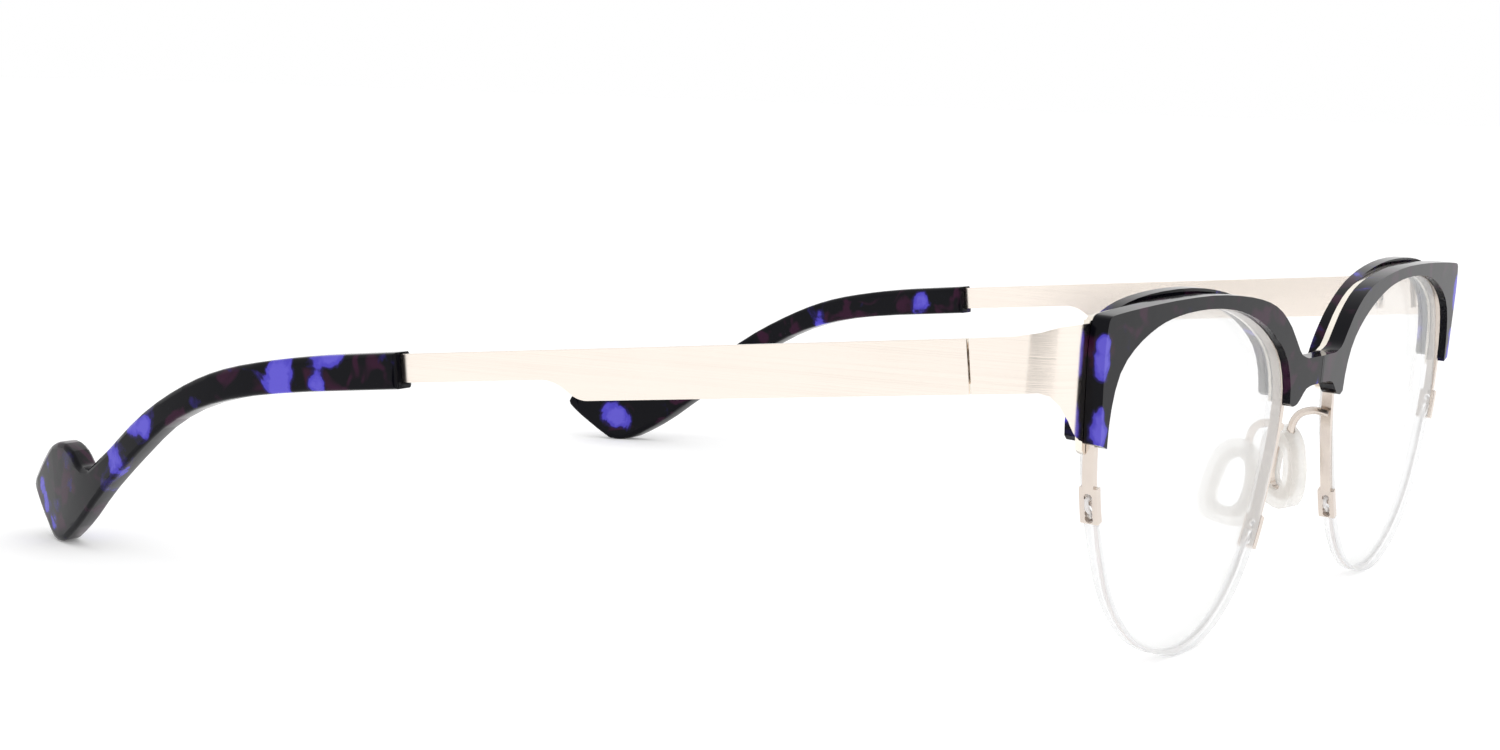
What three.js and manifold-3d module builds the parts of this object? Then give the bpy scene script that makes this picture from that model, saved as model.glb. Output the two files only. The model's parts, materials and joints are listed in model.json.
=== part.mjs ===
// Half rim eyeglasses: a steel chassis sandwiched between acetate brow pieces, lenses held by a
// half eyewire and a nylon cord, and folding spring-steel temples with acetate tips.
// Millimetres. The design frame is the wearer's: +Z up, the glasses look along -Y, +X is the
// wearer's left, and the top edges of the temples lie at z = 0. At the end the whole is leant
// back by REST_LEAN, so that the lenses and the tips stand on z = 0.
import * as THREE from 'three';
import { mergeVertices } from 'three/addons/utils/BufferGeometryUtils.js';
import Module from 'manifold-3d';

const wasm = await Module();
wasm.setup();

// ---- driving dimensions -------------------------------------------------------------------
const deg = Math.PI / 180;
const GAP = 0.1;                    // clearance between touching pieces
const FRONT_Y = -1.85;              // front face of the bridge
const WRAP = 2.2 * deg;             // each half of the front turns back by this
const TILT = 8.5 * deg;             // the lens bottoms lean towards the cheeks
const REST_LEAN = 5.66 * deg;       // lean of the open glasses on a table

const BROW_T = 2;                   // front acetate
const SHEET_T = 0.8;                // chassis, endpieces and temple strips
const REAR_T = 1.4;                 // rear acetate
const LIP = 0.95;                   // front acetate left in front of the eyewire
const WIRE = { radial: 0.9, depth: 1.3 };
const TAB = { length: 4, depth: 2.1 };
const LENS = { thickness: 1.9, frontRadius: 180, cx: 33.5, cz: -19.5 };
const CORD_R = 0.25;
const GROOVE = { depth: 0.62, width: 0.7 };

const SHEET_Y = BROW_T + GAP / 2;                 // layers behind the front face
const REAR_Y = SHEET_Y + SHEET_T + GAP / 2;
const WIRE_Y = LIP + GAP;
const LENS_Y = WIRE_Y + WIRE.depth / 2;           // middle plane of eyewire, groove and cord

const BEND_R = 5;                   // outside radius of the endpiece bend
const HINGE = { x: 67, y: 14, splay: 4.6 * deg }; // outer face of the strip at the hinge line
const BARREL_R = 1.1;
const PIVOT_IN = SHEET_T + GAP + BARREL_R + 0.1;  // barrel axis, in from the strip's outer face
const LEAF = { top: -1, bottom: -4.9, length: 5.6, knuckles: 3 };
const SCREW_R = 0.5;

const STRIP = { wide: 5.9, narrow: 3.4, stepFrom: 47, stepTo: 52, tipFrom: 72, coreEnd: 92 };
const TIP = { thickness: 3.8, bendFrom: 91, bendIn: 0.0057 };
const PAD = {
  x: 8.6, y: 8.4, z: -21.9, flare: 17 * deg, splay: 27 * deg, lean: 27 * deg, thickness: 2.4,
};

// The edge of the left lens seen from the front, from the nasal side over the top.
const LENS_EDGE = [
  [9.7, -12.5], [10.3, -9.6], [12.2, -6.6], [15.4, -4.3], [20, -2.2], [26, -0.5], [32, 0.3],
  [38.5, 0.5], [45, 0.1], [50, -0.9], [54.7, -2.8], [57.8, -5.5], [59.1, -10.5], [58.5, -17],
  [56.3, -23.6], [52.5, -30.4], [46.8, -35.5], [40, -38.52], [33, -39.62], [26, -38.42],
  [20, -35.1], [15.6, -30.2], [12.8, -24.5], [10.4, -17.5],
];
// The outer edge of the left front acetate, from the bridge to the temporal end.
const BROW_EDGE = [
  [4.9, -7.2], [7.2, -6.6], [9.1, -5], [11.9, -2.6], [15.8, -0.5], [20.5, 0.75], [27, 1.6],
  [35, 2.1], [45, 2.05], [54, 1.7], [59.6, 1.35], [60.9, 1.1], [61.4, 0.4], [61.7, -2.4],
  [61.4, -6], [61.1, -9.5], [60.8, -12.4],
];
// The lower edge of the bridge and the nasal lobe, from the lens back to the middle.
const LOBE_EDGE = [[8.6, -12.9], [7.3, -12.7], [6.1, -11.9], [4.8, -11], [3, -10.7]];
const BRIDGE = { top: -7.2, bottom: -10.6 };
const BROW_END = -12.9;             // lower ends of the acetates
const NASAL_END = -12.5;

const acetate = new THREE.MeshStandardMaterial({ color: 0x1a1830, roughness: 0.12 });
const steel = new THREE.MeshStandardMaterial({ color: 0xd9cfc4, roughness: 0.35, metalness: 1 });
const lensMaterial = new THREE.MeshStandardMaterial({ color: 0xf4f8fa, roughness: 0.02 });
const silicone = new THREE.MeshStandardMaterial({ color: 0xf3efe8, roughness: 0.25 });
const nylon = new THREE.MeshStandardMaterial({ color: 0xf0f0ee, roughness: 0.3 });

// ---- solids -------------------------------------------------------------------------------
function toSolid(geometry) {
  const bare = geometry.clone();
  bare.deleteAttribute('normal');
  bare.deleteAttribute('uv');
  const merged = mergeVertices(bare, 1e-4);
  return new wasm.Manifold(new wasm.Mesh({
    numProp: 3,
    vertProperties: new Float32Array(merged.attributes.position.array),
    triVerts: new Uint32Array(merged.index.array),
  }));
}

function toGeometry(solid) {
  const mesh = solid.getMesh();
  const geometry = new THREE.BufferGeometry();
  geometry.setAttribute('position', new THREE.BufferAttribute(mesh.vertProperties, 3));
  geometry.setIndex(new THREE.BufferAttribute(mesh.triVerts, 1));
  geometry.computeVertexNormals();
  return geometry;
}

function cut(geometry, ...tools) {
  return toGeometry(tools.reduce((solid, tool) => solid.subtract(toSolid(tool)), toSolid(geometry)));
}

function join(geometry, ...others) {
  return toGeometry(others.reduce((solid, other) => solid.add(toSolid(other)), toSolid(geometry)));
}

function common(geometry, other) {
  return toGeometry(toSolid(geometry).intersect(toSolid(other)));
}

function mirrored(geometry) {
  const copy = geometry.index ? geometry.toNonIndexed() : geometry.clone();
  const array = copy.attributes.position.array;
  for (let i = 0; i < array.length; i += 9) {
    for (let k = 0; k < 3; k += 1) {
      const second = array[i + 3 + k];
      array[i + 3 + k] = array[i + 6 + k];
      array[i + 6 + k] = second;
    }
  }
  for (let i = 0; i < array.length; i += 3) array[i] = -array[i];
  copy.deleteAttribute('normal');
  copy.deleteAttribute('uv');
  copy.computeVertexNormals();
  return copy;
}

// ---- outlines -----------------------------------------------------------------------------
const vec = ([x, y]) => new THREE.Vector2(x, y);
const spline = (points, steps) => new THREE.SplineCurve(points.map(vec)).getPoints(steps);

// An outline facing the front, made solid from y0 to y1.
function plate(points, y0, y1, holes = []) {
  const shape = new THREE.Shape(points);
  shape.holes = holes.map((hole) => new THREE.Path(hole));
  const geometry = new THREE.ExtrudeGeometry(shape, { depth: y1 - y0, bevelEnabled: false });
  return geometry.rotateX(Math.PI / 2).translate(0, y1, 0);
}

// An outline in the plan view (x, y), made solid from z0 to z1.
function slab(points, z0, z1, holes = []) {
  const shape = new THREE.Shape(points);
  shape.holes = holes.map((hole) => new THREE.Path(hole));
  const geometry = new THREE.ExtrudeGeometry(shape, { depth: z1 - z0, bevelEnabled: false });
  return geometry.translate(0, 0, z0);
}

// An outline in the side view (y, z), made solid from x0 to x1.
function sidePlate(points, x0, x1, bevel) {
  const settings = bevel
    ? { depth: x1 - x0 - 2 * bevel, bevelSize: bevel, bevelThickness: bevel, bevelOffset: -bevel,
      bevelSegments: 2 }
    : { depth: x1 - x0, bevelEnabled: false };
  const geometry = new THREE.ExtrudeGeometry(new THREE.Shape(points), settings);
  const turn = new THREE.Matrix4().makeBasis(
    new THREE.Vector3(0, 1, 0), new THREE.Vector3(0, 0, 1), new THREE.Vector3(1, 0, 0),
  );
  return geometry.applyMatrix4(turn).translate(x0 + (bevel || 0), 0, 0);
}

function rod(radius, length, segments = 16) {
  return new THREE.CylinderGeometry(radius, radius, length, segments);
}

// Points round the lens edge, each with its outward direction.
const RIM_STEPS = 76;
const lensCurve = new THREE.SplineCurve([...LENS_EDGE, LENS_EDGE[0]].map(vec));
const lensPoints = lensCurve.getSpacedPoints(RIM_STEPS).slice(0, RIM_STEPS);
const rim = lensPoints.map((point, i) => {
  const before = lensPoints[(i + RIM_STEPS - 1) % RIM_STEPS];
  const after = lensPoints[(i + 1) % RIM_STEPS];
  const along = after.clone().sub(before).normalize();
  return { point, out: new THREE.Vector2(-along.y, along.x) };
});

// Rim position at a height on one side, in steps from the nasal start over the top.
function rimAt(height, side) {
  for (let i = 0; i < RIM_STEPS; i += 1) {
    const a = rim[i].point;
    const b = rim[(i + 1) % RIM_STEPS].point;
    const onSide = side === 'nasal' ? a.x < LENS.cx : a.x > LENS.cx;
    if (onSide && (a.y - height) * (b.y - height) <= 0) return i + (height - a.y) / (b.y - a.y);
  }
  throw new Error('no such height on the lens edge');
}

function rimPoint(position, offset) {
  const wrapped = ((position % RIM_STEPS) + RIM_STEPS) % RIM_STEPS;
  const i = Math.floor(wrapped);
  const t = wrapped - i;
  const a = rim[i];
  const b = rim[(i + 1) % RIM_STEPS];
  return a.point.clone().lerp(b.point, t).addScaledVector(a.out.clone().lerp(b.out, t), offset);
}

function rimPath(from, to, offset) {
  const points = [rimPoint(from, offset)];
  for (let i = Math.floor(from) + 1; i < to; i += 1) points.push(rimPoint(i, offset));
  points.push(rimPoint(to, offset));
  return points;
}

function rimBand(from, to, inner, outer, y0, y1) {
  return plate([...rimPath(from, to, outer), ...rimPath(from, to, inner).reverse()], y0, y1);
}

const STEP_LENGTH = lensCurve.getLength() / RIM_STEPS;

// ---- front: pieces of one half, in its own flat frame -------------------------------------
const nasalAt = (height) => {
  const position = rimAt(height, 'nasal');
  return position > RIM_STEPS / 2 ? position - RIM_STEPS : position;
};
const temporalAt = (height) => rimAt(height, 'temporal');
const offsetEdge = (points, inset) => points.map((point, i) => {
  const before = points[Math.max(i - 1, 0)];
  const after = points[Math.min(i + 1, points.length - 1)];
  const along = after.clone().sub(before).normalize();
  return new THREE.Vector2(point.x + along.y * inset, point.y - along.x * inset);
});

// Half outline that reaches the middle of the bridge, with its rim side at `clear` off the lens.
function halfOutline(inset, clear) {
  const outer = offsetEdge(spline(BROW_EDGE, 34), inset);
  const inner = rimPath(nasalAt(NASAL_END), temporalAt(BROW_END), clear).reverse();
  const lobe = offsetEdge(spline(LOBE_EDGE, 8), inset);
  return [
    new THREE.Vector2(-0.3, BRIDGE.top - inset), ...outer, ...inner, ...lobe,
    new THREE.Vector2(-0.3, BRIDGE.bottom + inset),
  ];
}

function bothHalves(half) {
  const left = half.clone().rotateZ(WRAP);
  return join(left, mirrored(left));
}

const SCREWS = { temporal: [57, -2.2], nasal: [8.1, -9.6] };
const BROW_SCREW = { shaft: 0.45, head: 0.8, headDepth: 0.5, tip: 0.8 };
const rearFace = REAR_Y + REAR_T;
const REAR_CLEAR = 0.4;             // rear acetate, back from the lens edge

function along(x, z, radius, y0, y1) {
  return rod(radius, y1 - y0).translate(x, (y0 + y1) / 2, z);
}

function screwHoles(y0, y1, radius) {
  return Object.values(SCREWS).map(([x, z]) => along(x, z, radius, y0, y1));
}

// The rebate that the eyewire lies in, from the lip of the front acetate back to y1.
function wireSeat(y1) {
  return rimBand(wireFrom, wireTo, -1, WIRE.radial + 2 * GAP, LIP, y1);
}

const sheetSeat = () => wireSeat(WIRE_Y + WIRE.depth + GAP);

function browHalf() {
  const body = plate(halfOutline(0, GAP), 0, BROW_T);
  const holes = screwHoles(BROW_SCREW.tip - GAP, BROW_T + 1, BROW_SCREW.shaft + GAP);
  return cut(body, wireSeat(BROW_T + 1), ...holes);
}

// The endpiece: the sheet bends back round BEND_R and runs to the hinge, cut to its side view.
function endpiece() {
  const hingeY = (HINGE.y - FRONT_Y) * Math.cos(TILT);
  const side = Math.PI / 2 - HINGE.splay;
  const startX = HINGE.x - BEND_R * Math.sin(side) + Math.tan(HINGE.splay) * (9.1 - hingeY);
  const centre = new THREE.Vector2(
    startX, SHEET_Y / Math.cos(WRAP) + Math.tan(WRAP) * startX + BEND_R / Math.cos(WRAP),
  );
  const arc = (radius, from, to) => new THREE.EllipseCurve(
    centre.x, centre.y, radius, radius, from - Math.PI / 2, to - Math.PI / 2, from > to,
  ).getPoints(12);
  const run = (hingeY + 3 - centre.y) / Math.cos(HINGE.splay);
  const straight = (radius) => arc(radius, side, side)[0].clone()
    .add(new THREE.Vector2(Math.cos(side), Math.sin(side)).multiplyScalar(run));
  const lead = new THREE.Vector2(Math.cos(WRAP), Math.sin(WRAP)).multiplyScalar(-2);
  const outer = arc(BEND_R, WRAP, side);
  const inner = arc(BEND_R - SHEET_T, side, WRAP);
  const plan = [
    outer[0].clone().add(lead), ...outer, straight(BEND_R), straight(BEND_R - SHEET_T), ...inner,
    inner[inner.length - 1].clone().add(lead),
  ];
  const strip = slab(plan, -20, 6).rotateX(TILT).translate(0, FRONT_Y, 0);
  const sideView = [
    [-2, 1], [2.2, 1], [4.2, 0.8], [6, 0.35], [9, 0.05], [HINGE.y - GAP, 0],
    [HINGE.y - GAP, -STRIP.wide], [6.6, -STRIP.wide], [5.6, -6.3], [4.9, -7.4], [4.5, -9],
    [4.3, -11], [4.3, -13], [-2, -13.2],
  ].map(vec);
  const shaped = common(strip, sidePlate(sideView, 55, 75));
  shaped.translate(0, -FRONT_Y, 0).rotateX(-TILT);
  return cut(shaped, sheetSeat().rotateZ(WRAP));
}

function chassisHalf() {
  const sheet = plate(halfOutline(0.3, GAP), SHEET_Y, SHEET_Y + SHEET_T);
  const ear = plate([
    [59.4, 0.7], [61.6, 0.6], [61.7, -6], [61.5, -10], [60.9, -13.2], [60.2, -13.7],
    [59.6, -13.7], [59.4, -12], [59.4, -6],
  ].map(vec), SHEET_Y, SHEET_Y + SHEET_T);
  const holes = screwHoles(SHEET_Y - 1, rearFace, BROW_SCREW.shaft + GAP);
  return cut(join(sheet, ear), sheetSeat(), ...holes);
}

function rearBrow() {
  const inner = rimPath(nasalAt(-11.6), temporalAt(-12), REAR_CLEAR).reverse();
  const outer = spline([
    [6.8, -10.6], [6.8, -9], [8.1, -7], [10.1, -5], [13.2, -2.7], [17.4, -0.6], [22, 0.9],
    [28, 2], [35, 2.6], [43, 2.6], [49.5, 2.1], [54, 1.2], [56.9, -0.1], [58.8, -2.1],
    [60.1, -4.7], [60.8, -7.6], [61, -10.4],
  ], 34);
  const foot = [[60.8, -11.9], [60.2, -12.4]].map(vec);
  const toe = [[8.4, -12], [7.2, -11.6]].map(vec);
  const body = plate([...outer, ...foot, ...inner, ...toe], REAR_Y, rearFace);
  const headY = rearFace - BROW_SCREW.headDepth - GAP;
  return cut(
    body, ...screwHoles(REAR_Y - 1, rearFace + 1, BROW_SCREW.shaft + GAP),
    ...screwHoles(headY, rearFace + 1, BROW_SCREW.head + GAP),
  );
}

function browScrew([x, z]) {
  const headY = rearFace - BROW_SCREW.headDepth;
  const screw = join(
    along(x, z, BROW_SCREW.shaft, BROW_SCREW.tip, headY + 0.2),
    along(x, z, BROW_SCREW.head, headY, rearFace - 0.05),
  );
  const slot = new THREE.BoxGeometry(3, 0.3, 0.25).translate(x, rearFace, z);
  return cut(screw, slot);
}

// ---- eyewire, lens and cord ---------------------------------------------------------------
const TAB_END = { temporal: -21, nasal: -29.4 };
const tabSteps = TAB.length / STEP_LENGTH;
const wireFrom = nasalAt(TAB_END.nasal);
const wireTo = temporalAt(TAB_END.temporal);
const tabHoles = { round: 1.05, slot: [2.25, 3.45] };   // from the upper end of each tab

// A tab bored across for the cord, at the wire position where it ends.
function tab(end, towards) {
  const from = Math.min(end, end + towards * tabSteps);
  const to = Math.max(end, end + towards * tabSteps);
  const y0 = LENS_Y - TAB.depth / 2;
  const body = rimBand(from, to, GAP, GAP + WIRE.radial, y0, y0 + TAB.depth);
  const bore = (distance) => {
    const place = end + towards * (tabSteps - distance / STEP_LENGTH);
    const a = rimPoint(place, -1);
    const b = rimPoint(place, 3);
    const turn = new THREE.Quaternion().setFromUnitVectors(
      new THREE.Vector3(0, 1, 0), new THREE.Vector3(b.x - a.x, 0, b.y - a.y).normalize(),
    );
    const hole = rod(0.48, 4, 12).applyQuaternion(turn);
    return hole.translate((a.x + b.x) / 2, LENS_Y, (a.y + b.y) / 2);
  };
  const [slotFrom, slotTo] = tabHoles.slot;
  return cut(body, bore(tabHoles.round), bore(slotFrom), bore((slotFrom + slotTo) / 2), bore(slotTo));
}

function eyewire() {
  const band = rimBand(wireFrom + tabSteps * 0.9, wireTo - tabSteps * 0.9, GAP, GAP + WIRE.radial,
    WIRE_Y, WIRE_Y + WIRE.depth);
  return join(band, tab(wireFrom, 1), tab(wireTo, -1));
}

// The cord runs out of the upper hole, back through the slot and round in the groove.
function cordCurve() {
  const turnIn = (end, sign) => [
    [tabSteps * sign - sign * tabHoles.round / STEP_LENGTH, 0.4],
    [tabSteps * sign - sign * tabHoles.round / STEP_LENGTH, 1.2],
    [tabSteps * sign - sign * 1.6 / STEP_LENGTH, 1.5],
    [tabSteps * sign - sign * 2.3 / STEP_LENGTH, 1.2],
    [tabSteps * sign - sign * 3 / STEP_LENGTH, 0.5],
    [tabSteps * sign - sign * 4.2 / STEP_LENGTH, -0.25],
  ].map(([step, offset]) => rimPoint(end + step, offset));
  const lower = [];
  const from = wireTo + 2;
  const to = wireFrom + RIM_STEPS - 2;
  for (let i = 0; i <= 14; i += 1) lower.push(rimPoint(from + (to - from) * i / 14, -0.28));
  const points = [...turnIn(wireTo, -1), ...lower, ...turnIn(wireFrom, 1).reverse()];
  return new THREE.CatmullRomCurve3(points.map(({ x, y }) => new THREE.Vector3(x, LENS_Y, y)));
}

function cord() {
  const ring = new THREE.Shape().absarc(0, 0, CORD_R, 0, 2 * Math.PI);
  return new THREE.ExtrudeGeometry(ring, {
    extrudePath: cordCurve(), steps: 64, curveSegments: 4,
  });
}

// A meniscus: a spherical shell cut to the lens outline, with the groove round its lower edge.
function lens() {
  const { thickness, frontRadius, cx, cz } = LENS;
  const reach = 34;
  const rings = 4;
  const sag = (radius, r) => radius - Math.sqrt(radius * radius - r * r);
  const edge = sag(frontRadius, 22);
  const profile = [];
  for (let i = 0; i <= rings; i += 1) {
    const r = reach * i / rings;
    profile.push(vec([r, sag(frontRadius, r) - edge - thickness / 2]));
  }
  for (let i = rings; i >= 0; i -= 1) {
    const r = reach * i / rings;
    profile.push(vec([r, sag(frontRadius, r) - edge + thickness / 2]));
  }
  const shell = new THREE.LatheGeometry(profile, 24).translate(cx, LENS_Y, cz);
  const outline = plate(lensPoints, LENS_Y - 8, LENS_Y + 8);
  const grooveFrom = wireTo - tabSteps * 0.45;
  const grooveTo = wireFrom + tabSteps * 0.45 + RIM_STEPS;
  const groove = rimBand(grooveFrom, grooveTo, -GROOVE.depth, 1,
    LENS_Y - GROOVE.width / 2, LENS_Y + GROOVE.width / 2);
  return cut(common(shell, outline), groove);
}

// ---- nose pads ----------------------------------------------------------------------------
const padTurn = new THREE.Matrix4().makeRotationX(PAD.lean)
  .multiply(new THREE.Matrix4().makeRotationZ(-PAD.splay))
  .multiply(new THREE.Matrix4().makeRotationY(-PAD.flare));
const padPlace = new THREE.Matrix4().makeTranslation(PAD.x, PAD.y, PAD.z).multiply(padTurn);

// A rounded D in the side view: straight at the back, narrower at the top.
function padOutline(depth, height) {
  const corners = [
    [0.5, -0.3], [0.5, 0.26], [0.18, 0.5], [-0.22, 0.42], [-0.46, 0.08], [-0.5, -0.26],
    [-0.3, -0.48], [0.3, -0.5], [0.5, -0.3],
  ];
  return spline(corners.map(([y, z]) => [y * depth, z * height]), 24).slice(0, 24);
}

function padRing(outer, inner, thickness) {
  return cut(
    sidePlate(padOutline(...outer), -thickness / 2, thickness / 2),
    sidePlate(padOutline(...inner), -thickness, thickness),
  );
}

const PAD_OUTER = [7, 10.6];
const PAD_INNER = [3.4, 6.4];
const CORE_OUTER = [5.2, 8.4];
const PAD_GROOVE = [5.5, 8.7];

function armCurve() {
  const top = new THREE.Vector3(0, -0.4, CORE_OUTER[1] / 2 - 0.3).applyMatrix4(padPlace);
  return new THREE.CatmullRomCurve3([
    new THREE.Vector3(8.45, 1.95, -15.2), new THREE.Vector3(8.1, 3.7, -14.7),
    new THREE.Vector3(7.7, 5.5, -15.1), new THREE.Vector3(7.45, 6.5, -16.5), top,
  ]);
}

function armSolid(radius) {
  const ring = new THREE.Shape().absarc(0, 0, radius, 0, 2 * Math.PI);
  return new THREE.ExtrudeGeometry(ring, { extrudePath: armCurve(), steps: 14, curveSegments: 4 });
}

function padArm() {
  const core = padRing(CORE_OUTER, PAD_INNER, 0.9).applyMatrix4(padPlace);
  return join(armSolid(0.5), core);
}

function nosePad() {
  const body = padRing(PAD_OUTER, PAD_INNER.map((size) => size - 0.3), PAD.thickness);
  const groove = sidePlate(padOutline(...PAD_GROOVE), -0.6, 0.6);
  return cut(cut(body, groove).applyMatrix4(padPlace), armSolid(0.65));
}

// ---- hinges and temples, in the frame of the hinge axis -----------------------------------
const knuckleHeight = (LEAF.top - LEAF.bottom) / LEAF.knuckles;
const leafInner = BARREL_R + 0.1 - 0.95;

// Leaf plate and its knuckles; direction 1 lies along the temple, -1 on the endpiece.
function leaf(direction, rows) {
  const clear = BARREL_R + 0.25;
  const plateX = [leafInner, BARREL_R + 0.1];
  const slabOf = (y0, y1, z0, z1) => {
    const [a, b] = [Math.min(direction * y0, direction * y1), Math.max(direction * y0, direction * y1)];
    return slab([[plateX[0], a], [plateX[1], a], [plateX[1], b], [plateX[0], b]].map(vec), z0, z1);
  };
  let solid = slabOf(clear, LEAF.length, LEAF.bottom, LEAF.top);
  rows.forEach((row) => {
    const z1 = LEAF.top - row * knuckleHeight - GAP / 2;
    const z0 = z1 - knuckleHeight + GAP;
    const barrel = rod(BARREL_R, z1 - z0, 24).rotateX(Math.PI / 2).translate(0, 0, (z0 + z1) / 2);
    solid = join(solid, slabOf(0.2, clear + 0.3, z0, z1), barrel);
  });
  const bore = rod(SCREW_R + GAP, 10, 16).rotateX(Math.PI / 2).translate(0, 0, LEAF.top - 2);
  return cut(solid, bore);
}

function hingeScrew() {
  const length = LEAF.top - LEAF.bottom - 0.2;
  const shaft = rod(SCREW_R, length).rotateX(Math.PI / 2).translate(0, 0, (LEAF.top + LEAF.bottom) / 2);
  const head = rod(0.85, 0.45).rotateX(Math.PI / 2).translate(0, 0, LEAF.top + 0.275);
  const neck = rod(SCREW_R, 0.4).rotateX(Math.PI / 2).translate(0, 0, LEAF.top);
  const slot = new THREE.BoxGeometry(3, 0.25, 0.5).translate(0, 0, LEAF.top + 0.5);
  return cut(join(shaft, neck, head), slot);
}

const outerX = PIVOT_IN;            // outer face of the strip in the hinge frame
const slotLow = -STRIP.narrow - 0.1;
const strip0 = outerX - SHEET_T;

// Inward bend of the tip, as an offset for the distance along the temple.
const bendAt = (y) => (y > TIP.bendFrom ? -TIP.bendIn * (y - TIP.bendFrom) ** 2 : 0);

function bentInward(geometry) {
  const position = geometry.attributes.position;
  for (let i = 0; i < position.count; i += 1) {
    position.setX(i, position.getX(i) + bendAt(position.getY(i)));
  }
  geometry.computeVertexNormals();
  return geometry;
}

function templeStrip() {
  const { wide, narrow, stepFrom, stepTo, tipFrom } = STRIP;
  const step = spline([
    [stepTo + 1, -narrow], [stepTo, -narrow - 0.1], [stepTo - 1.6, -narrow - 0.7],
    [stepFrom + 1.6, -wide + 0.5], [stepFrom + 0.4, -wide + 0.05], [stepFrom - 0.6, -wide],
  ], 12);
  const core = [[tipFrom + 0.4, -narrow], [tipFrom + 0.4, -narrow + 0.5], [STRIP.coreEnd, -2.9],
    [STRIP.coreEnd, -1.4], [tipFrom + 0.4, -0.5], [tipFrom + 0.4, 0]];
  const points = [[GAP, -wide], [GAP, 0], ...core.reverse()].map(vec);
  return sidePlate([...points, ...step], strip0, outerX);
}

function templeTip() {
  const start = STRIP.tipFrom;
  const outline = [
    ...spline([
      [start, 0.25], [start + 10, 0.15], [start + 18, -0.25], [start + 26, -1.2],
      [start + 33, -3.1], [start + 41, -6.5], [start + 49, -11.2],
    ], 18),
    ...spline([
      [start + 54.6, -14.1], [start + 56.9, -14], [start + 58.8, -12.2], [start + 61.2, -11.1],
      [start + 63.8, -11.1], [start + 66.4, -12.1], [start + 70.8, -15.2], [start + 72.65, -17],
      [start + 71.8, -18.9], [start + 69, -22], [start + 66.8, -24.1],
    ], 24),
    ...spline([
      [start + 65.6, -24.4], [start + 64.3, -24.4], [start + 62.6, -23.9], [start + 58, -21.5],
      [start + 51.8, -17.3], [start + 43.5, -12.2], [start + 37, -8.4], [start + 30.5, -6],
      [start + 23, -4.7], [start + 14, -4.2], [start, -4.1],
    ], 22),
  ];
  const middle = (strip0 + outerX) / 2;
  const half = TIP.thickness / 2;
  const body = sidePlate(outline, middle - half, middle + half, 0.7);
  const slot = sidePlate([
    [start - 1, slotLow], [start + 0.8, slotLow], [start + 0.8, -3.2],
    [STRIP.coreEnd + 0.3, -3.2], [STRIP.coreEnd + 0.3, -1.1], [start + 0.8, -0.2],
    [start + 0.8, 0.1], [start - 1, 0.1],
  ].map(vec), strip0 - GAP, outerX + GAP);
  return cut(body, slot);
}

// ---- assembly -----------------------------------------------------------------------------
const glasses = new THREE.Group();
const front = new THREE.Group();
front.rotation.x = TILT;
front.position.y = FRONT_Y;
glasses.add(front);

function put(group, name, geometry, material) {
  const mesh = new THREE.Mesh(geometry, material);
  mesh.name = name;
  group.add(mesh);
  return mesh;
}

put(front, 'front_brow', bothHalves(browHalf()), acetate);
const sheet = bothHalves(chassisHalf());
const leftEndpiece = endpiece();
put(front, 'chassis', join(sheet, leftEndpiece, mirrored(leftEndpiece)), steel);

const hingePlace = new THREE.Vector3(
  HINGE.x - PIVOT_IN * Math.cos(HINGE.splay), HINGE.y + PIVOT_IN * Math.sin(HINGE.splay), 0,
);

for (const [side, sign] of [['left', 1], ['right', -1]]) {
  const sided = (geometry) => (sign > 0 ? geometry : mirrored(geometry));
  const half = new THREE.Group();
  half.rotation.z = sign * WRAP;
  front.add(half);
  put(half, `${side}_rear_brow`, sided(rearBrow()), acetate);
  put(half, `${side}_eyewire`, sided(eyewire()), steel);
  put(half, `${side}_lens`, sided(lens()), lensMaterial);
  put(half, `${side}_nylon_cord`, sided(cord()), nylon);
  for (const [place, spot] of Object.entries(SCREWS)) {
    put(half, `${side}_${place}_brow_screw`, sided(browScrew(spot)), steel);
  }
  put(glasses, `${side}_pad_arm`, sided(padArm()), steel);
  put(glasses, `${side}_nose_pad`, sided(nosePad()), silicone);

  const hinge = new THREE.Group();
  hinge.position.set(sign * hingePlace.x, hingePlace.y, 0);
  hinge.rotation.z = -sign * HINGE.splay;
  glasses.add(hinge);
  put(hinge, `${side}_hinge_front_leaf`, sided(leaf(-1, [0, 2])), steel);
  put(hinge, `${side}_hinge_screw`, sided(hingeScrew()), steel);
  put(hinge, `${side}_hinge_temple_leaf`, sided(leaf(1, [1])), steel);
  put(hinge, `${side}_temple_strip`, sided(templeStrip()), steel);
  put(hinge, `${side}_temple_tip`, sided(bentInward(templeTip())), acetate);
}

// Lean the glasses back onto their tips and set the origin at the middle of the footprint.
const standing = new THREE.Group();
const leaning = new THREE.Group();
leaning.rotation.x = -REST_LEAN;
leaning.add(glasses);
standing.add(leaning);
const box = new THREE.Box3().setFromObject(standing, true);
leaning.position.set(0, -(box.min.y + box.max.y) / 2, -box.min.z);

export default standing;
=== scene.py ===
# Half rim eyeglasses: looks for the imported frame. Metres, +Z up, the front faces -Y.
import json
import math

import bmesh
import bpy
from mathutils import Matrix, Vector


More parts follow.
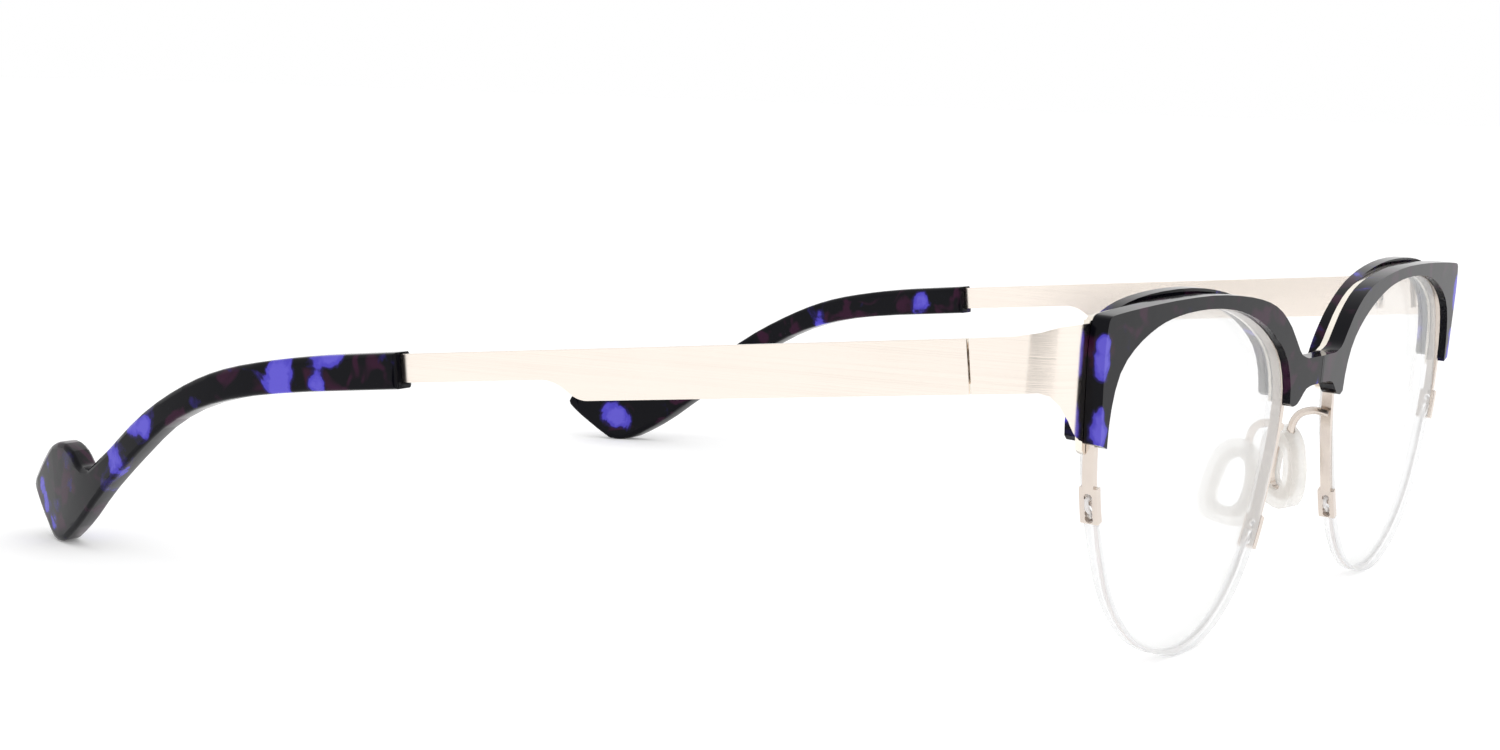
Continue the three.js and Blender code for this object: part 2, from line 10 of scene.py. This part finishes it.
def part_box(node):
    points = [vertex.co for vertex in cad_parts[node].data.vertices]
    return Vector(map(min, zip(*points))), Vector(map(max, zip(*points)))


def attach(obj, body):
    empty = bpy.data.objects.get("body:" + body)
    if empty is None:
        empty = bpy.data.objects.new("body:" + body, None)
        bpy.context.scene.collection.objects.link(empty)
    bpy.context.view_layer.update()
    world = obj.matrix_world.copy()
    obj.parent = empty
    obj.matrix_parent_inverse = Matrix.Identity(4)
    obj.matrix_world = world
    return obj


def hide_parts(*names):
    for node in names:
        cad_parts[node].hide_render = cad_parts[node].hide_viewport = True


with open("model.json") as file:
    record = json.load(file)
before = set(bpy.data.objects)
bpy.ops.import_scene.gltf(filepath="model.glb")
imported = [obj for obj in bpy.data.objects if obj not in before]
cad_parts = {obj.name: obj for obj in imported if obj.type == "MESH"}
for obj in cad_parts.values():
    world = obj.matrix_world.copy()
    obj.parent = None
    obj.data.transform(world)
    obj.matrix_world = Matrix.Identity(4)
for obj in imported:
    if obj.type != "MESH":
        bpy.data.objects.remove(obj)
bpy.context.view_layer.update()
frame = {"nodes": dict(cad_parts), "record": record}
print("frame loaded:", len(frame["nodes"]), "nodes")

mm = 0.001
sides = {"left": 1, "right": -1}


class Value:                                       # a socket that sums and products can use
    def __init__(self, recipe, socket):
        self.recipe = recipe
        self.socket = socket

    def maths(self, operation, *terms):
        node = self.recipe.add("ShaderNodeMath", {"operation": operation}, dict(enumerate(terms)))
        return Value(self.recipe, node.outputs[0])

    def __add__(self, other):
        return self.maths("ADD", self, other)

    def __radd__(self, other):
        return self.maths("ADD", other, self)

    def __sub__(self, other):
        return self.maths("SUBTRACT", self, other)

    def __rsub__(self, other):
        return self.maths("SUBTRACT", other, self)

    def __mul__(self, other):
        return self.maths("MULTIPLY", self, other)

    def __rmul__(self, other):
        return self.maths("MULTIPLY", other, self)

    def atLeast(self, other):
        return self.maths("MAXIMUM", self, other)

    def atMost(self, other):
        return self.maths("MINIMUM", self, other)


class Recipe:                                      # one material, built node by node
    def __init__(self, name):
        self.material = bpy.data.materials.new(name)
        self.material.use_nodes = True
        self.tree = self.material.node_tree
        self.tree.nodes.clear()
        self.output = self.add("ShaderNodeOutputMaterial")

    def add(self, kind, settings=None, sockets=None):
        node = self.tree.nodes.new(kind)
        for key, setting in (settings or {}).items():
            setattr(node, key, setting)
        for key, given in (sockets or {}).items():
            if isinstance(given, Value):
                self.tree.links.new(given.socket, node.inputs[key])
            else:
                node.inputs[key].default_value = given
        return node

    def place(self, scale, shift=(0, 0, 0), turn=(0, 0, 0)):
        coords = Value(self, self.add("ShaderNodeTexCoord").outputs["Object"])
        mapping = self.add("ShaderNodeMapping", {"vector_type": "POINT"}, {
            "Vector": coords, "Location": shift, "Rotation": turn, "Scale": scale,
        })
        return Value(self, mapping.outputs[0])

    def noise(self, vector, scale=1, detail=2, distortion=0, roughness=0.5):
        node = self.add("ShaderNodeTexNoise", {"noise_dimensions": "3D"}, {
            "Vector": vector, "Scale": scale, "Detail": detail, "Distortion": distortion,
            "Roughness": roughness,
        })
        return Value(self, node.outputs[0])

    def step(self, value, low, high):              # 0 below low, 1 above high, soft between
        node = self.add("ShaderNodeMapRange", {"interpolation_type": "SMOOTHSTEP"}, {
            "Value": value, "From Min": low, "From Max": high,
        })
        return Value(self, node.outputs[0])

    def near(self, vector, centre, inner, outer):  # 1 within inner of a point, 0 past outer
        node = self.add("ShaderNodeVectorMath", {"operation": "DISTANCE"}, {0: vector, 1: centre})
        return 1 - self.step(Value(self, node.outputs["Value"]), inner, outer)

    def blend(self, share, first, second):         # colours, by their share
        node = self.add("ShaderNodeMix", {"data_type": "RGBA"}, {0: share, 6: first, 7: second})
        return Value(self, node.outputs[2])

    def bump(self, height, distance, strength=1):
        node = self.add("ShaderNodeBump", None, {
            "Height": height, "Distance": distance, "Strength": strength,
        })
        return Value(self, node.outputs[0])

    def finish(self, sockets):
        shader = self.add("ShaderNodeBsdfPrincipled", None, sockets)
        self.tree.links.new(shader.outputs[0], self.output.inputs["Surface"])
        return self.material


acetate = {
    "black": (0.003, 0.003, 0.005, 1), "navy": (0.016, 0.01, 0.09, 1),
    "violet": (0.075, 0.058, 0.5, 1), "lilac": (0.17, 0.14, 0.7, 1), "plum": (0.03, 0.006, 0.022, 1),
    "blot": 0.16, "grain": 0.9,                    # noise per mm
    "polish": 0.06, "shine": 0.11, "pull": 0.33,   # pull is how much a set blot adds
}


# Polished acetate: black with cloudy violet blots. spots are extra blots, [place in mm, size].
def acetateFinish(name, shift, spots, amount):
    recipe = Recipe(name)
    point = recipe.place((1 / mm,) * 3)
    moved = recipe.place((1 / mm,) * 3, shift=shift)
    cloud = recipe.noise(moved, acetate["blot"], 3, 0.9, 0.55)
    torn = recipe.noise(moved, acetate["grain"], 3, 0.4, 0.6)
    seed = cloud + (torn - 0.5) * 0.16
    for centre, size in spots:
        seed = seed + recipe.near(point, centre, size * 0.15, size) * acetate["pull"]
    blot = recipe.step(seed, amount + 0.09, amount + 0.16)
    halo = recipe.step(seed, amount, amount + 0.11)
    core = recipe.step(seed + (torn - 0.5) * 0.2, amount + 0.16, amount + 0.34)
    plum = recipe.step(recipe.noise(moved, acetate["blot"] * 1.3, 2, 0.6), 0.54, 0.64)
    colour = recipe.blend(plum, acetate["black"], acetate["plum"])
    colour = recipe.blend(halo, colour, acetate["navy"])
    colour = recipe.blend(blot, colour, acetate["violet"])
    colour = recipe.blend(core * 0.5, colour, acetate["lilac"])
    wave = recipe.noise(point, 0.35, 1)
    wear = recipe.noise(point, 3, 4)
    return recipe.finish({
        "Base Color": colour,
        "Roughness": acetate["polish"] + wear * 0.05,
        "Specular IOR Level": acetate["shine"],
        "IOR": 1.49,
        "Normal": recipe.bump(wave, 0.02 * mm, 0.5),
    })


steel = {
    "light": (0.93, 0.845, 0.765, 1), "dark": (0.78, 0.7, 0.62, 1), "edge": (0.98, 0.92, 0.82, 1),
    "wire": (0.7, 0.62, 0.56, 1),
    "streak": (0.02 / mm, 0.02 / mm, 9 / mm), "satin": 0.1, "polish": 0.1,
}


# Champagne steel brushed along its length, so that the lines follow the strip round the bend.
def brushedFinish(name, shift):
    recipe = Recipe(name)
    lines = recipe.noise(recipe.place(steel["streak"], shift), 1, 4, 0, 0.65)
    fine = recipe.noise(recipe.place([part * 3 for part in steel["streak"]], shift), 1, 2)
    cloud = recipe.noise(recipe.place((0.08 / mm,) * 3, shift), 1, 2)
    share = recipe.step(lines + (cloud - 0.5) * 0.3, 0.42, 0.78)
    return recipe.finish({
        "Base Color": recipe.blend(share * 0.4, steel["light"], steel["dark"]),
        "Metallic": 1,
        "Roughness": steel["satin"] + lines * 0.12 + fine * 0.04,
        "Normal": recipe.bump(lines + fine * 0.5, 0.006 * mm, 0.7),
    })


def polishedFinish(name, colour, roughness):
    recipe = Recipe(name)
    grain = recipe.noise(recipe.place((2.5 / mm,) * 3), 1, 3)
    cloud = recipe.noise(recipe.place((0.3 / mm,) * 3), 1, 2)
    return recipe.finish({
        "Base Color": recipe.blend(recipe.step(cloud, 0.35, 0.75) * 0.5, colour, steel["dark"]),
        "Metallic": 1,
        "Roughness": roughness + grain * 0.08,
        "Normal": recipe.bump(grain, 0.003 * mm, 0.4),
    })


clear = {"lens": (0.985, 0.99, 0.99, 1), "ground": (0.83, 0.84, 0.85, 1), "haze": 0.035}


# The lens lets the light straight through and mirrors a little, more at a slant.
def lensFinish(name):
    recipe = Recipe(name)
    smear = recipe.noise(recipe.place((0.12 / mm,) * 3), 1, 2)
    slant = Value(recipe, recipe.add("ShaderNodeFresnel", None, {"IOR": 1.5}).outputs[0])
    body = recipe.add("ShaderNodeBsdfPrincipled", None, {
        "Base Color": clear["lens"], "Roughness": 0.02 + smear * 0.03, "IOR": 1.5,
    })
    clearPath = recipe.add("ShaderNodeBsdfTransparent", None, {"Color": (1, 1, 1, 1)})
    share = (slant * 0.4 + clear["haze"] + smear * 0.01).atMost(0.9)
    mix = recipe.add("ShaderNodeMixShader", None, {
        0: share, 1: Value(recipe, clearPath.outputs[0]), 2: Value(recipe, body.outputs[0]),
    })
    recipe.tree.links.new(mix.outputs[0], recipe.output.inputs["Surface"])
    return recipe.material


# Ground lens edges, silicone and nylon: milky, half see-through.
def milkyFinish(name, colour, alpha, roughness, grainSize, depth):
    recipe = Recipe(name)
    grain = recipe.noise(recipe.place((grainSize / mm,) * 3), 1, 3)
    cloud = recipe.noise(recipe.place((0.35 / mm,) * 3), 1, 2)
    shade = [part * 0.93 for part in colour[:3]] + [1]
    return recipe.finish({
        "Base Color": recipe.blend(recipe.step(cloud, 0.35, 0.7), colour, shade),
        "Roughness": roughness + grain * 0.1,
        "Alpha": (alpha + (cloud - 0.5) * 0.12).atMost(1).atLeast(0.02),
        "IOR": 1.42,
        "Normal": recipe.bump(grain, depth * mm, 0.5),
    })


brushed = brushedFinish("brushedSteel", (0, 0, 0))
sheetEdge = polishedFinish("polishedSheetEdge", steel["edge"], 0.14)
wireSteel = polishedFinish("wireSteel", steel["wire"], 0.18)
hingeSteel = polishedFinish("hingeSteel", steel["light"], 0.24)
screwSteel = polishedFinish("screwSteel", steel["dark"], steel["polish"])
lensClear = lensFinish("clearLens")
lensGround = milkyFinish("groundLensEdge", clear["ground"], 0.4, 0.35, 3, 0.002)
silicone = milkyFinish("clearSilicone", (0.95, 0.925, 0.885, 1), 0.5, 0.22, 1.2, 0.01)
nylon = milkyFinish("nylonThread", (0.9, 0.87, 0.86, 1), 0.8, 0.3, 2, 0.002)
print("finishes made")


def copyOf(node, joined=True):                     # the node's mesh, merged, flat areas joined
    mesh = bmesh.new()
    mesh.from_mesh(frame["nodes"][node].data)
    bmesh.ops.remove_doubles(mesh, verts=mesh.verts, dist=0.0005 * mm)
    if not joined:
        return mesh
    bmesh.ops.dissolve_limit(
        mesh, angle_limit=math.radians(0.4), use_dissolve_boundaries=False,
        verts=mesh.verts, edges=mesh.edges, delimit=set(),
    )
    return mesh


# clamp_overlap holds the width back to what the short edges beside it allow. On the finely
# divided outlines (acetate, sheet, wires, pads, tips) that leaves next to no rounding.
def roundEdges(mesh, edges, width, segments):
    if edges and width:
        bmesh.ops.bevel(
            mesh, geom=list(edges), offset=width, offset_type="OFFSET", segments=segments,
            profile=0.5, affect="EDGES", clamp_overlap=True, material=-1, loop_slide=True,
        )


def sharpEdges(mesh, degrees, wanted=lambda edge: True):
    limit = math.radians(degrees)
    return [
        edge for edge in mesh.edges
        if len(edge.link_faces) == 2 and edge.calc_face_angle(0) > limit and wanted(edge)
    ]


def makePiece(mesh, name, body, finishes, replaced, crease=38):
    for face in mesh.faces:
        face.smooth = True
    for edge in sharpEdges(mesh, crease):
        edge.smooth = False
    data = bpy.data.meshes.new(name)
    mesh.to_mesh(data)
    mesh.free()
    for finish in finishes:
        data.materials.append(finish)
    piece = bpy.data.objects.new(name, data)
    bpy.context.scene.collection.objects.link(piece)
    weighted = piece.modifiers.new("Weighted normals", "WEIGHTED_NORMAL")
    weighted.keep_sharp = True
    weighted.weight = 80
    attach(piece, body)
    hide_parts(*replaced)


brow = {
    "frontRound": 0.9 * mm, "rearRound": 0.25 * mm, "segments": 5, "flatArea": 30 * mm * mm,
    "legSpots": [                                  # height over the foot and size, in mm
        (0.4, 3.4), (2.4, 3), (4, 2), (8.4, 2.4), (10.2, 2.2), (11.6, 1.6),
    ],
    "legDepth": 2.2, "frontAmount": 0.6, "rearAmount": 0.56,
}


def faceEdges(mesh, direction, area):              # the rim of large flats that look one way
    flats = {f for f in mesh.faces if f.normal.dot(direction) > 0.9 and f.calc_area() > area}
    return {
        edge for face in flats for edge in face.edges
        if sum(other in flats for other in edge.link_faces) == 1
    }


def makeBrow(node, finish):
    mesh = copyOf(node)
    facing, behind = Vector((0, -1, 0)), Vector((0, 1, 0))
    roundEdges(mesh, faceEdges(mesh, facing, brow["flatArea"]), brow["frontRound"], brow["segments"])
    roundEdges(mesh, faceEdges(mesh, behind, brow["flatArea"]), brow["rearRound"], 3)
    makePiece(mesh, node + "_polished", "front", [finish], [node])


browLow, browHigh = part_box("front_brow")
browSide = browHigh.x / mm
browFoot = browLow.z / mm
browFace = browLow.y / mm
frontSpots = []
for sign in sides.values():
    for height, size in brow["legSpots"]:
        frontSpots.append(((sign * browSide, browFace + brow["legDepth"], browFoot + height), size))
frontAcetate = acetateFinish("frontAcetate", (3, 1, 8), frontSpots, brow["frontAmount"])
makeBrow("front_brow", frontAcetate)
for side, sign in sides.items():
    low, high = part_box(side + "_rear_brow")
    outerEnd = (high.x if sign > 0 else low.x) / mm
    rearSpots = [
        ((outerEnd - sign * 0.6, high.y / mm, low.z / mm + 3), 2.2),
        ((outerEnd - sign * 4, high.y / mm - 1, high.z / mm - 1), 5),
        ((sign * 9, high.y / mm, low.z / mm + 6), 4.5),
    ]
    rearAcetate = acetateFinish(side + "RearAcetate", (7 * sign, 4, 2), rearSpots, brow["rearAmount"])
    makeBrow(side + "_rear_brow", rearAcetate)
print("front acetate done")

sheet = {"edgeRound": 0.07 * mm, "flatFacing": 0.75, "bendFrom": 61.8 * mm, "bendFacing": 0.2}


def makeChassis():                                 # broad sides are brushed, cut edges polished
    mesh = copyOf("chassis")
    roundEdges(mesh, sharpEdges(mesh, 60), sheet["edgeRound"], 2)
    for face in mesh.faces:
        flat = abs(face.normal.y) > sheet["flatFacing"]
        outside = abs(face.calc_center_median().x) > sheet["bendFrom"]
        bent = outside and abs(face.normal.z) < sheet["bendFacing"]
        face.material_index = 0 if flat or bent else 1
    makePiece(mesh, "chassis_brushed", "front", [brushed, sheetEdge], ["chassis"])


makeChassis()
wire = {"tabRound": 0.12 * mm}
lens = {"rimRound": 0.12 * mm, "faceFacing": 0.8}


def makeLens(side):                                # clear faces and a ground rim
    mesh = copyOf(side + "_lens")
    for face in mesh.faces:
        face.material_index = 0 if abs(face.normal.y) > lens["faceFacing"] else 1
    rim = sharpEdges(mesh, 50, lambda edge: len({f.material_index for f in edge.link_faces}) == 2)
    roundEdges(mesh, rim, lens["rimRound"], 2)
    makePiece(mesh, side + "_lens_clear", "front", [lensClear, lensGround],
              [side + "_lens"], 30)


for side in sides:
    mesh = copyOf(side + "_eyewire")
    roundEdges(mesh, sharpEdges(mesh, 50), wire["tabRound"], 2)
    makePiece(mesh, side + "_eyewire_polished", "front", [wireSteel], [side + "_eyewire"])
    makeLens(side)
    mesh = copyOf(side + "_nylon_cord", joined=False)
    makePiece(mesh, side + "_nylon_thread", "front", [nylon], [side + "_nylon_cord"], 60)
print("lenses and wires done")

pad = {"round": 0.8 * mm, "segments": 5}
for side in sides:
    mesh = copyOf(side + "_nose_pad")
    roundEdges(mesh, sharpEdges(mesh, 50), pad["round"], pad["segments"])
    makePiece(mesh, side + "_pad_silicone", "front", [silicone], [side + "_nose_pad"], 50)

    mesh = copyOf(side + "_pad_arm")
    makePiece(mesh, side + "_pad_arm_wire", "front", [wireSteel], [side + "_pad_arm"], 45)
print("nose pads done")

hinge = {"round": 0.12 * mm}
for side in sides:
    for leaf, body in (("_hinge_front_leaf", "front"), ("_hinge_temple_leaf", side + "_temple")):
        mesh = copyOf(side + leaf)
        roundEdges(mesh, sharpEdges(mesh, 50), hinge["round"], 2)
        makePiece(mesh, side + leaf + "_steel", body, [hingeSteel], [side + leaf])
    for screw in ("_hinge_screw", "_temporal_brow_screw", "_nasal_brow_screw"):
        mesh = copyOf(side + screw)
        makePiece(mesh, side + screw + "_steel", "front", [screwSteel], [side + screw], 35)

strip = {"edgeRound": 0.08 * mm, "flatFacing": 0.8}
tip = {                                            # lengths from the hinge pin
    "start": 72 * mm, "end": 145 * mm, "bendFrom": 91 * mm, "bend": 0.0057 / mm,
    "over": 1.4 * mm,                      # the temple's top edge over the pivot point
    "slice": 2 * mm, "edgeRound": 0.75 * mm, "segments": 4, "amount": 0.6,
    "spots": [                             # along the tip, height and outward in mm, size
        (16.5, -1.8, 3.4, 3.2), (17, -4, 3.4, 3), (16.9, -5.4, 3.4, 2), (10.8, -1, 3.4, 3.2),
        (8.8, -0.9, 3.4, 2.6), (11.3, -4.6, 3.4, 2.2), (30.7, -6.6, 3.4, 2),
        (43.4, -9.6, 3.4, 2.4), (40.5, -9.8, 3.4, 2), (49.4, -12, 3.4, 2.4),
        (47.7, -14.6, 3.4, 2.6), (68.5, -18.6, 3.4, 2.4), (67.8, -21.2, 3.4, 2.6),
        (66, -23.4, 3.4, 2.4),
        (7.6, -3.6, 0.3, 3), (28.6, -6.4, 0.3, 2.6), (66.2, -20.8, 0.3, 3.4), (64.5, -22.4, 0.3, 3.2),
    ],
}
jointPlace = {joint["name"]: joint for joint in frame["record"]["behaviour"]["joints"]}
mountPlace = {mount["name"]: mount for mount in frame["record"]["mounts"]}


class TempleFrame:                                 # where a temple's own directions point
    def __init__(self, side):
        self.pivot = Vector(jointPlace[side + "_temple_fold"]["pos_m"])
        self.out = Vector(mountPlace[side + "_temple_face"]["axis"]).normalized()
        upward = Vector(jointPlace[side + "_temple_fold"]["axis"])
        self.up = upward if upward.z > 0 else -upward
        self.along = self.up.cross(self.out)
        if self.along.y < 0:
            self.along = -self.along
        self.top = self.pivot + self.up * tip["over"]

    def bend(self, distance):
        return tip["bend"] * max(distance - tip["bendFrom"], 0) ** 2

    def point(self, distance, height, outward):    # a point of the bent tip
        straight = self.top + self.along * distance + self.up * height
        return straight + self.out * (outward - self.bend(distance))


# The tip is straightened, its flat sides joined and cut in slices, and bent inwards again.
def makeTip(side, finish):
    temple = TempleFrame(side)
    mesh = bmesh.new()
    mesh.from_mesh(frame["nodes"][side + "_temple_tip"].data)
    bmesh.ops.remove_doubles(mesh, verts=mesh.verts, dist=0.0005 * mm)
    for vert in mesh.verts:
        vert.co += temple.out * temple.bend((vert.co - temple.pivot).dot(temple.along))
    bmesh.ops.dissolve_limit(
        mesh, angle_limit=math.radians(0.6), use_dissolve_boundaries=False,
        verts=mesh.verts, edges=mesh.edges, delimit=set(),
    )
    roundEdges(mesh, sharpEdges(mesh, 50), tip["edgeRound"], tip["segments"])
    distance = tip["bendFrom"]
    while distance < tip["end"]:
        bmesh.ops.bisect_plane(
            mesh, geom=mesh.verts[:] + mesh.edges[:] + mesh.faces[:], dist=0.001 * mm,
            plane_co=temple.pivot + temple.along * distance, plane_no=temple.along,
        )
        distance += tip["slice"]
    for vert in mesh.verts:
        vert.co -= temple.out * temple.bend((vert.co - temple.pivot).dot(temple.along))
    makePiece(mesh, side + "_temple_tip_polished", side + "_temple", [finish],
              [side + "_temple_tip"], 50)


def makeTemple(side, sign):
    body = side + "_temple"
    mesh = copyOf(side + "_temple_strip")
    roundEdges(mesh, sharpEdges(mesh, 50), strip["edgeRound"], 2)
    for face in mesh.faces:
        face.material_index = 0 if abs(face.normal.x) > strip["flatFacing"] else 1
    makePiece(mesh, side + "_temple_strip_brushed", body, [brushed, sheetEdge],
              [side + "_temple_strip"])
    temple = TempleFrame(side)
    spots = [
        (tuple(temple.point(tip["start"] + along * mm, height * mm, outward * mm) / mm), size)
        for along, height, outward, size in tip["spots"]
    ]
    makeTip(side, acetateFinish(side + "TipAcetate", (11 * sign, 5, 3 + 4 * sign), spots,
                                tip["amount"]))


for side, sign in sides.items():
    makeTemple(side, sign)
print("temples done")

room = {"size": 6, "floor": (0.95, 0.95, 0.95, 1), "glow": 0.16, "sky": 1.0}


def makeFloor():
    mesh = bmesh.new()
    bmesh.ops.create_grid(mesh, x_segments=1, y_segments=1, size=room["size"])
    data = bpy.data.meshes.new("floor")
    mesh.to_mesh(data)
    mesh.free()
    recipe = Recipe("paleFloor")
    cloud = recipe.noise(recipe.place((3, 3, 3)), 1, 2)
    shade = [part * 0.99 for part in room["floor"][:3]] + [1]
    data.materials.append(recipe.finish({
        "Base Color": recipe.blend(cloud, room["floor"], shade), "Roughness": 0.9,
        "Emission Color": (1, 1, 1, 1), "Emission Strength": room["glow"],
    }))
    floor = bpy.data.objects.new("floor", data)
    bpy.context.scene.collection.objects.link(floor)


# A dark card beside the camera, seen only in reflections. It shades the bends only faintly.
card = {"at": (-0.395, -0.216, 0.05), "size": (0.24, 0.16), "turn": 24}


def makeCard():
    mesh = bmesh.new()
    bmesh.ops.create_grid(mesh, x_segments=1, y_segments=1, size=1)
    bmesh.ops.scale(mesh, vec=(card["size"][0], card["size"][1], 1), verts=mesh.verts)
    bmesh.ops.rotate(mesh, matrix=Matrix.Rotation(math.pi / 2, 3, "X"), verts=mesh.verts)
    turn = Matrix.Rotation(math.radians(90 + card["turn"]), 3, "Z")
    bmesh.ops.rotate(mesh, matrix=turn, verts=mesh.verts)
    bmesh.ops.translate(mesh, vec=card["at"], verts=mesh.verts)
    data = bpy.data.meshes.new("darkCard")
    mesh.to_mesh(data)
    mesh.free()
    recipe = Recipe("cardBlack")
    weave = recipe.noise(recipe.place((40, 40, 40)), 1, 2)
    data.materials.append(recipe.finish({
        "Base Color": recipe.blend(weave, (0.008, 0.008, 0.008, 1), (0.014, 0.014, 0.014, 1)),
        "Roughness": 1,
    }))
    panel = bpy.data.objects.new("darkCard", data)
    bpy.context.scene.collection.objects.link(panel)
    panel.visible_camera = False
    panel.visible_diffuse = False
    panel.visible_shadow = False
    panel.visible_transmission = False


def makeLight(name, at, target, size, energy):
    data = bpy.data.lights.new(name, "AREA")
    data.shape = "RECTANGLE"
    data.size, data.size_y = size
    data.energy = energy
    light = bpy.data.objects.new(name, data)
    light.location = at
    light.rotation_euler = (Vector(target) - Vector(at)).to_track_quat("-Z", "Y").to_euler()
    bpy.context.scene.collection.objects.link(light)


makeFloor()
makeCard()
makeLight("topSoftbox", (-0.25, -0.5, 0.9), (0, 0, 0.03), (0.5, 0.35), 0.6)

scene = bpy.context.scene
scene.world = bpy.data.worlds.new("paleRoom")
scene.world.use_nodes = True
sky = scene.world.node_tree.nodes["Background"]
sky.inputs["Color"].default_value = (1, 1, 1, 1)
sky.inputs["Strength"].default_value = room["sky"]
scene.view_settings.view_transform = "Standard"

camera = {"at": (-0.30269, -0.18351, 0.06407), "turn": (83.355, -1.691, -57.996), "lens": 60.82}
lensData = bpy.data.cameras.new("camera")
lensData.sensor_width = 36
lensData.lens = camera["lens"]
lensData.clip_start = 0.01
viewer = bpy.data.objects.new("camera", lensData)
viewer.location = camera["at"]
viewer.rotation_euler = [math.radians(angle) for angle in camera["turn"]]
scene.collection.objects.link(viewer)
scene.camera = viewer

print("scene done")
